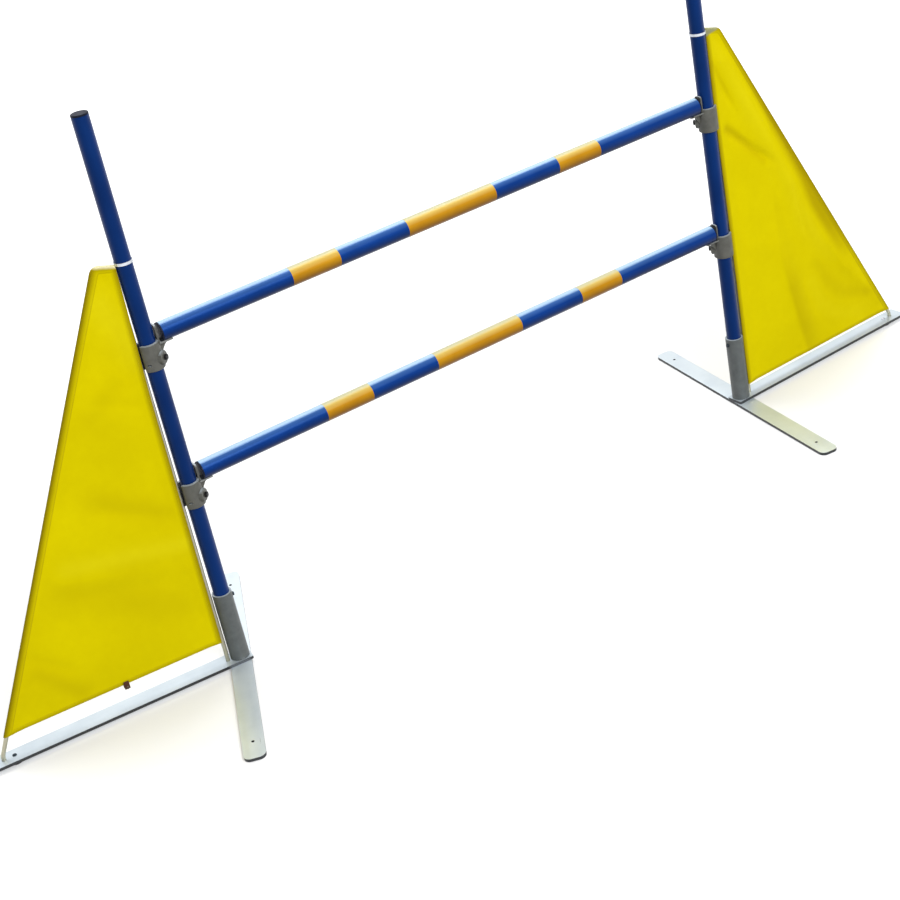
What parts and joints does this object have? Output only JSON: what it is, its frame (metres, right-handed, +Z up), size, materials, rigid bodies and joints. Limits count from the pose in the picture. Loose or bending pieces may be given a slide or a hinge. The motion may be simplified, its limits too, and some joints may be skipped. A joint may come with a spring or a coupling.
{
  "type": "dog agility hurdle",
  "caption": "Free-standing dog agility hurdle: wing stands with fabric sleeves hold jump bars in sliding cups; flat feet swivel under the poles.",
  "frame": {"origin": "on the ground in the middle of the hurdle, midway between the rails' outer ends", "axes": "+X along the jump bars from the left to the right stand, +Y away from the viewer of the picture, +Z up"},
  "size_m": [2.2274, 0.6268, 1.074],
  "materials": {
    "yellow_fabric": "woven polyester, matt",
    "blue_pole": "satin dark royal blue",
    "blue_bar": "gloss royal blue with golden bands",
    "grey_plastic": "matt grey moulding",
    "black_plastic": "matt black",
    "grey_socket": "satin grey",
    "aluminium_bar": "drawn flat bar, satin",
    "bare_steel_rod": "bare drawn rod",
    "zinc_steel": "zinc plated",
    "dark_webbing": "narrow dark webbing",
    "black_rubber": "moulded rubber"
  },
  "bodies": {
    "stands": {"left_base_rail": "aluminium_bar", "left_foot_bolt": "zinc_steel", "left_pad_screw": "zinc_steel", "left_set_screw": "zinc_steel", "left_pole_ring": "zinc_steel", "left_frame_rod": "bare_steel_rod", "left_hem_stud": "zinc_steel", "left_hem_strap": "dark_webbing", "left_socket": "grey_socket", "left_pole": "blue_pole", "left_pole_cap": "black_plastic", "left_sleeve": "yellow_fabric", "left_rail_pad": "black_rubber", "right_base_rail": "aluminium_bar", "right_foot_bolt": "zinc_steel", "right_pad_screw": "zinc_steel", "right_set_screw": "zinc_steel", "right_pole_ring": "zinc_steel", "right_frame_rod": "bare_steel_rod", "right_socket": "grey_socket", "right_pole": "blue_pole", "right_pole_cap": "black_plastic", "right_sleeve": "yellow_fabric", "right_rail_pad": "black_rubber"},
    "left_foot": {"left_cross_foot": "aluminium_bar"},
    "upper_left_cup": {"left_upper_cup": "grey_plastic"},
    "upper_left_knob": {"left_upper_cup_knob": "black_plastic"},
    "lower_left_cup": {"left_lower_cup": "grey_plastic"},
    "lower_left_knob": {"left_lower_cup_knob": "black_plastic"},
    "right_foot": {"right_cross_foot": "aluminium_bar"},
    "upper_right_cup": {"right_upper_cup": "grey_plastic"},
    "upper_right_knob": {"right_upper_cup_knob": "black_plastic"},
    "lower_right_cup": {"right_lower_cup": "grey_plastic"},
    "lower_right_knob": {"right_lower_cup_knob": "black_plastic"},
    "upper_bar_lifted": {"upper_bar": "blue_bar", "upper_bar_left_cap": "black_plastic", "upper_bar_right_cap": "black_plastic"},
    "lower_bar_lifted": {"lower_bar": "blue_bar", "lower_bar_left_cap": "black_plastic", "lower_bar_right_cap": "black_plastic"}
  },
  "joints": [
    {"name": "left_foot_swivel", "type": "hinge", "parent": "stands", "child": "left_foot", "pos_m": [-0.62458, 0, 0.003], "axis": [0, 0, 1], "range_deg": [-73, 107]},
    {"name": "right_foot_swivel", "type": "hinge", "parent": "stands", "child": "right_foot", "pos_m": [0.62342, 0, 0.003], "axis": [0, 0, 1], "range_deg": [-81, 99]},
    {"name": "upper_left_cup_slide", "type": "slide", "parent": "stands", "child": "upper_left_cup", "axis": [0, 0, 1], "range_m": [-0.07, 0.11]},
    {"name": "upper_right_cup_slide", "type": "slide", "parent": "stands", "child": "upper_right_cup", "axis": [0, 0, 1], "range_m": [-0.07, 0.11]},
    {"name": "upper_bar_lift", "type": "slide", "parent": "upper_left_cup", "child": "upper_bar_lifted", "axis": [0, 0, 1], "range_m": [0, 0.1]},
    {"name": "upper_left_knob_turn", "type": "hinge", "parent": "upper_left_cup", "child": "upper_left_knob", "pos_m": [-0.61044, -0.01414, 0.637], "axis": [0.7071, -0.7071, 0], "range_deg": [-360, 90]},
    {"name": "upper_right_knob_turn", "type": "hinge", "parent": "upper_right_cup", "child": "upper_right_knob", "pos_m": [0.60928, 0.01414, 0.637], "axis": [-0.7071, 0.7071, 0], "range_deg": [-360, 90]},
    {"name": "lower_left_cup_slide", "type": "slide", "parent": "stands", "child": "lower_left_cup", "axis": [0, 0, 1], "range_m": [-0.17, 0.06]},
    {"name": "lower_right_cup_slide", "type": "slide", "parent": "stands", "child": "lower_right_cup", "axis": [0, 0, 1], "range_m": [-0.17, 0.06]},
    {"name": "lower_bar_lift", "type": "slide", "parent": "lower_left_cup", "child": "lower_bar_lifted", "axis": [0, 0, 1], "range_m": [0, 0.06]},
    {"name": "lower_left_knob_turn", "type": "hinge", "parent": "lower_left_cup", "child": "lower_left_knob", "pos_m": [-0.61044, -0.01414, 0.363], "axis": [0.7071, -0.7071, 0], "range_deg": [-360, 90]},
    {"name": "lower_right_knob_turn", "type": "hinge", "parent": "lower_right_cup", "child": "lower_right_knob", "pos_m": [0.60928, 0.01414, 0.363], "axis": [-0.7071, 0.7071, 0], "range_deg": [-360, 90]}
  ],
  "couplings": [
    {"joint": "upper_right_cup_slide", "follows": "upper_left_cup_slide", "ratio": 1},
    {"joint": "lower_right_cup_slide", "follows": "lower_left_cup_slide", "ratio": 1}
  ]
}
